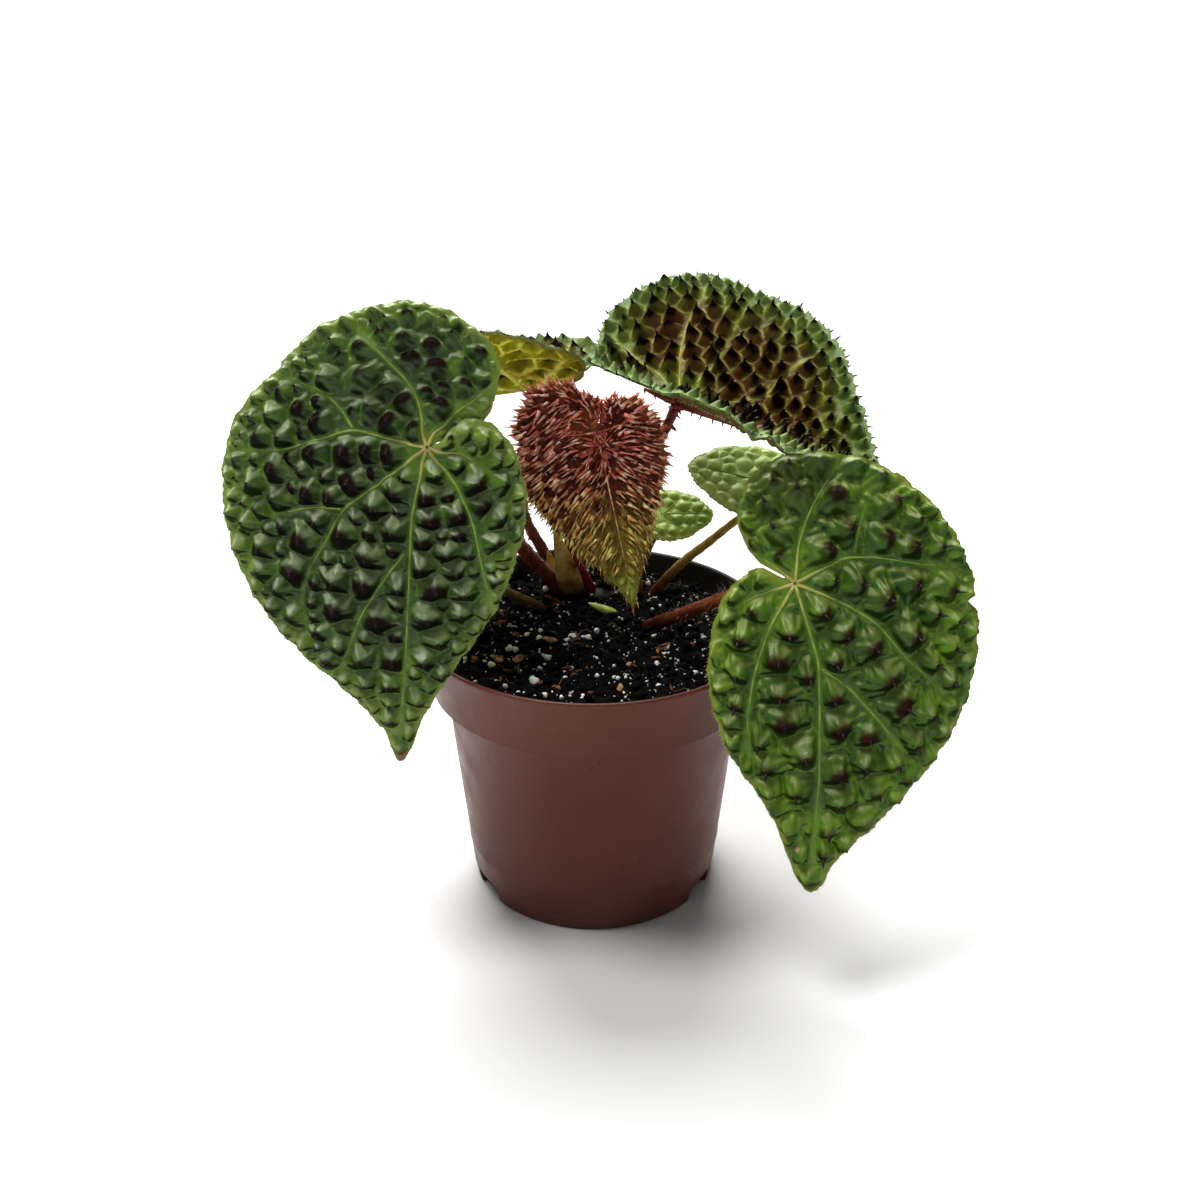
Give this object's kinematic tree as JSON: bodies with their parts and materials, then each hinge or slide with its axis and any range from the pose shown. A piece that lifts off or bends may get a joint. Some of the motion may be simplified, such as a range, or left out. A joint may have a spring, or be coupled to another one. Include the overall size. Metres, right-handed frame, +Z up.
{
  "type": "potted begonia ferox",
  "caption": "Potted begonia with large heart-shaped leaves covered in dark pointed blisters, a red spiny young leaf, and a round tapered nursery pot with a collar.",
  "frame": {"origin": "on the pot's axis, at the flat underside of the pot, which rests on the surface", "axes": "+Z up along the pot axis; the pictured front of the plant faces -Y; +X is to the right seen from the front"},
  "size_m": [0.2324, 0.1712, 0.2082],
  "materials": {
    "pot": "thin moulded red-brown plastic, satin with light scuffs",
    "mix": "moist dark peat and bark mix with white perlite grains",
    "rhizome": "papery olive-brown bracts on a creeping stem",
    "sprout": "fresh green folded shoot",
    "leaf_deep": "glossy deep green, dark purple-brown blister tips, pale green veins",
    "leaf_fresh": "glossy fresh green, hooked dark blister tips, pale green veins",
    "leaf_olive": "olive green with a yellow-green net and near-black blister tips",
    "leaf_young": "red-brown young leaf covered in spiny blisters, olive at the tip",
    "leaf_pale": "pale green juvenile leaf with low bumps",
    "stalk_red": "dark red bristly stalk",
    "stalk_olive": "ochre-olive slim stalk with short hairs"
  },
  "bodies": {
    "root": {"pot": "pot", "potting_mix": "mix", "rhizome_with_bracts": "rhizome", "sprout": "sprout", "leaf_1_front_left": "leaf_deep", "leaf_2_front_right": "leaf_fresh", "leaf_3_back_right": "leaf_olive", "leaf_4_back_left": "leaf_olive", "leaf_5_centre_young": "leaf_young", "leaf_6_seedling_right": "leaf_pale", "leaf_7_seedling_far_right": "leaf_pale", "leaf_8_seedling_left": "leaf_pale", "stalk_1": "stalk_red", "stalk_2": "stalk_red", "stalk_3": "stalk_red", "stalk_4": "stalk_red", "stalk_5": "stalk_red", "stalk_6": "stalk_olive", "stalk_7": "stalk_olive", "stalk_8": "stalk_olive"}
  },
  "joints": []
}
